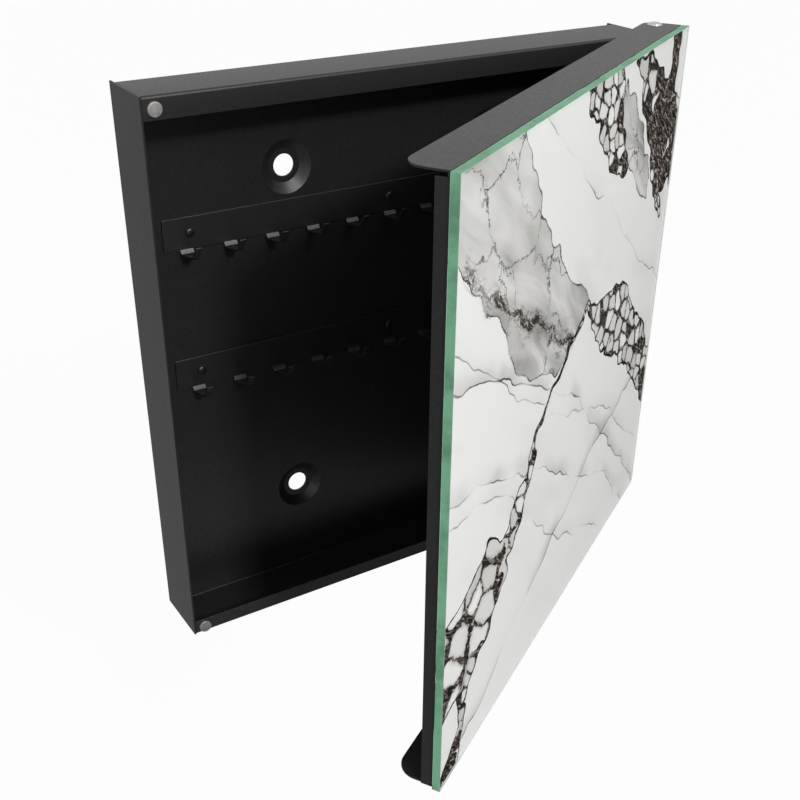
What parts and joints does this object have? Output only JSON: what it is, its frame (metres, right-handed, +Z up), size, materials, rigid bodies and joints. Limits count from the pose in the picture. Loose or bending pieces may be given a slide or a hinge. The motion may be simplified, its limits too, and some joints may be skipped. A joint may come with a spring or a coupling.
{
  "type": "wall key box",
  "caption": "Wall key box with a black sheet-steel casing, two rows of key hooks and a magnet-closed door faced with marble-printed glass, hinged at the right",
  "frame": {"origin": "middle of the four wall holes, on the wall plane", "axes": "+X to the right seen from the front, +Y into the wall, +Z up"},
  "size_m": [0.3253, 0.2051, 0.3033],
  "materials": {
    "black_powder_coat": "fine-grained satin black powder coat on steel sheet",
    "black_rail_coat": "satin black powder coat on the hook rails",
    "black_rivet_coat": "black coated rivets with domed heads",
    "magnet_nickel": "nickel-plated magnet discs",
    "bush_nylon": "natural white nylon",
    "clear_glass": "clear float glass with green polished edges",
    "marble_print": "white and grey marble print with dark brown cracked veins, seen through the glass",
    "foam_tape": "thin grey double-sided mounting tape",
    "pin_zinc": "bright zinc-plated steel"
  },
  "bodies": {
    "casing": {"back_channel": "black_powder_coat", "left_side_plate": "black_powder_coat", "right_side_plate": "black_powder_coat", "upper_hook_rail": "black_rail_coat", "lower_hook_rail": "black_rail_coat", "upper_rail_rivets": "black_rivet_coat", "lower_rail_rivets": "black_rivet_coat", "upper_magnet": "magnet_nickel", "lower_magnet": "magnet_nickel", "upper_hinge_bush": "bush_nylon", "lower_hinge_bush": "bush_nylon"},
    "door": {"door_tray": "black_powder_coat", "glass_panel": "clear_glass", "printed_film": "marble_print", "left_glass_tape": "foam_tape", "right_glass_tape": "foam_tape", "upper_glass_tape": "foam_tape", "lower_glass_tape": "foam_tape", "upper_hinge_pin": "pin_zinc", "lower_hinge_pin": "pin_zinc", "upper_pin_retainer": "pin_zinc", "lower_pin_retainer": "pin_zinc"}
  },
  "joints": [
    {"name": "door_hinge", "type": "hinge", "parent": "casing", "child": "door", "pos_m": [0.1605, -0.026, 0], "axis": [0, 0, 1], "range_deg": [-31.6, 148.4]}
  ]
}
